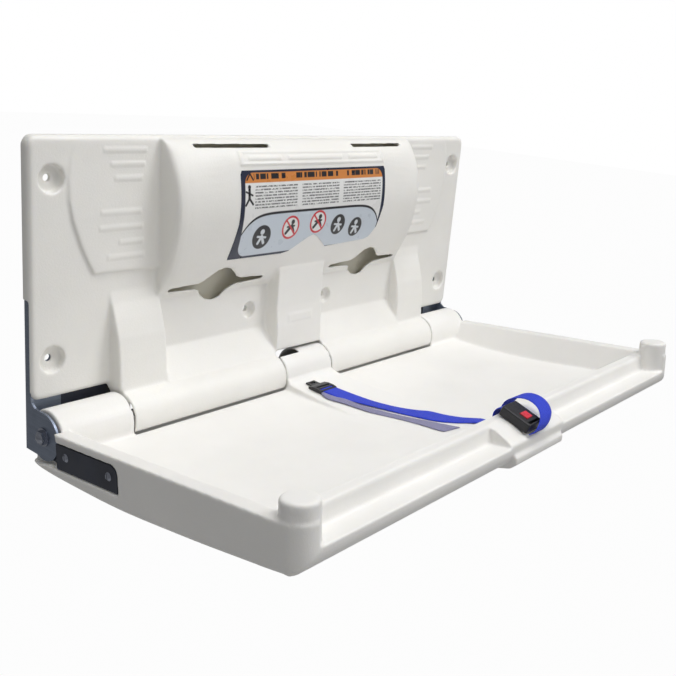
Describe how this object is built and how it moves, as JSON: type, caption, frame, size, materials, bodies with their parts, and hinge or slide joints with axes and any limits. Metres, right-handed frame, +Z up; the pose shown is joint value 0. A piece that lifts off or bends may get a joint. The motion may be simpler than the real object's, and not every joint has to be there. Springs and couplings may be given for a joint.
{
  "type": "changing_table",
  "caption": "Wall-mounted horizontal fold-down baby changing station in off-white molded plastic with blue safety strap",
  "frame": {"origin": "centre of the four-hole wall bolt pattern, on the wall face", "axes": "+X along the hinge to the right seen from the room, +Y into the wall, +Z up; the bed is stored open on its stop"},
  "size_m": [0.904, 0.4675, 0.4086],
  "materials": {
    "shell_plastic": "off-white rotationally molded polyethylene, fine orange-peel texture",
    "label_print": "printed instruction sheet bonded to the dome",
    "panel_plastic": "flat molded panel",
    "zinc_screw": "zinc plated",
    "bracket_steel": "plated sheet steel",
    "rod_steel": "ground bright steel",
    "nut_steel": "plated, domed",
    "nylon": "natural nylon",
    "arm_paint": "dark powder coat",
    "damper_black": "black enamel",
    "webbing_blue": "woven polypropylene webbing",
    "webbing_reverse": "pale reverse face of the webbing",
    "buckle_black": "black acetal",
    "button_red": "red acetal"
  },
  "bodies": {
    "wall_unit": {"wall_shell": "shell_plastic", "instruction_label": "label_print", "liner_back_panel": "panel_plastic", "liner_panel_screws": "zinc_screw", "left_hinge_bracket": "bracket_steel", "right_hinge_bracket": "bracket_steel", "chassis_plate": "bracket_steel", "hinge_rod": "rod_steel", "hinge_cap_nuts": "nut_steel", "hinge_outer_washers": "nut_steel", "hinge_spacer_washers": "nylon", "damper_anchor_bracket": "bracket_steel", "damper_anchor_pin": "rod_steel"},
    "bed": {"bed_shell": "shell_plastic", "hinge_bushings": "nylon", "left_bed_arm": "arm_paint", "right_bed_arm": "arm_paint", "bed_arm_screws": "zinc_screw", "damper_bed_bracket": "bracket_steel", "damper_bracket_pin": "rod_steel", "damper_bracket_screws": "zinc_screw", "damper_service_cover": "panel_plastic", "service_cover_screws": "zinc_screw", "strap_long_webbing": "webbing_blue", "strap_tail_webbing": "webbing_reverse", "strap_anchor_webbing": "webbing_blue", "strap_anchor_plate": "buckle_black", "strap_anchor_screws": "zinc_screw", "buckle_tongue": "buckle_black", "buckle_housing": "buckle_black"},
    "damper_barrel": {"damper_cylinder": "damper_black", "damper_gland": "nylon"},
    "damper_piston": {"damper_rod": "rod_steel"},
    "release_button": {"buckle_release_button": "button_red"}
  },
  "joints": [
    {"name": "bed_fold", "type": "hinge", "parent": "wall_unit", "child": "bed", "pos_m": [0, -0.038, -0.195], "axis": [-1, 0, 0], "range_deg": [0, 84.5]},
    {"name": "damper_swing", "type": "hinge", "parent": "bed", "child": "damper_barrel", "pos_m": [-0.027, -0.33146, -0.21698], "axis": [-1, 0, 0], "range_deg": [0, 0.6]},
    {"name": "damper_stroke", "type": "slide", "parent": "damper_barrel", "child": "damper_piston", "axis": [0, 0.9996, 0.0295], "range_m": [0, 0.0232]},
    {"name": "button_press", "type": "slide", "parent": "bed", "child": "release_button", "axis": [0, 0.3173, -0.9483], "range_m": [0, 0.0014], "stiffness_N_per_m": 600, "springref_m": -0.001}
  ],
  "couplings": [
    {"joint": "damper_swing", "follows": "bed_fold", "ratio": 0.00627},
    {"joint": "damper_stroke", "follows": "bed_fold", "m_per_rad": 0.015378}
  ]
}
